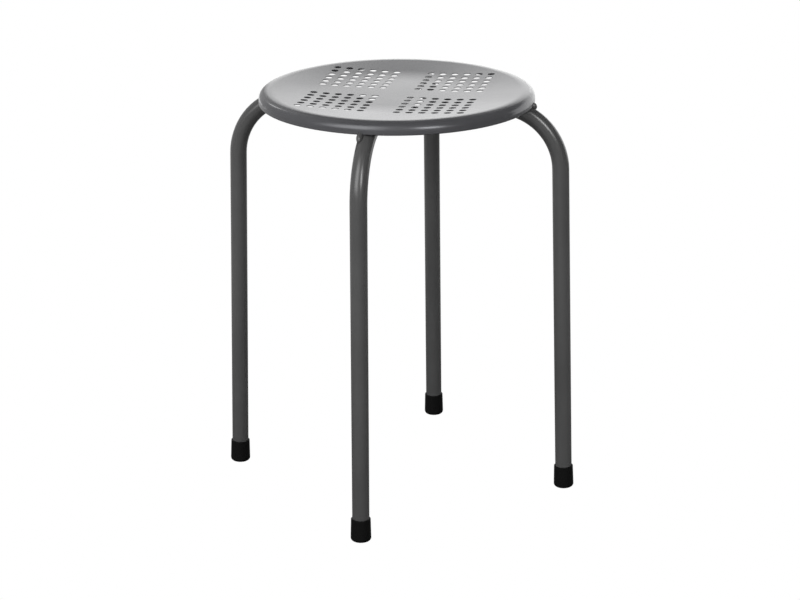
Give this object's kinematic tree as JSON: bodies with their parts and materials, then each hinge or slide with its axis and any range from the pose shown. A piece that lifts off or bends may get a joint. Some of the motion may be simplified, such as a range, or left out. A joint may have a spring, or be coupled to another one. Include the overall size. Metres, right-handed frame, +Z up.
{
  "type": "stacking stool",
  "caption": "Round metal stacking stool with a dished, perforated seat pan on two bent crossing tubes, each leg in a rubber foot.",
  "frame": {"origin": "on the floor, under the middle of the seat", "axes": "+Z up; the legs stand on the X and Y axes, with the front leg at -Y"},
  "size_m": [0.401, 0.401, 0.4506],
  "materials": {
    "seat_coat": "dark grey powder coat, satin, on pressed sheet steel",
    "leg_coat": "dark grey powder coat, satin, on steel tube",
    "weld_coat": "rippled weld bead under the same dark grey coat",
    "foot_rubber": "black moulded rubber, dull"
  },
  "bodies": {
    "root": {"seat_pan": "seat_coat", "front_back_leg_tube": "leg_coat", "left_right_leg_tube": "leg_coat", "foot_front": "foot_rubber", "foot_back": "foot_rubber", "foot_left": "foot_rubber", "foot_right": "foot_rubber", "rim_weld_front": "weld_coat", "rim_weld_back": "weld_coat", "rim_weld_left": "weld_coat", "rim_weld_right": "weld_coat", "crossing_weld_left": "weld_coat", "crossing_weld_right": "weld_coat"}
  },
  "joints": []
}
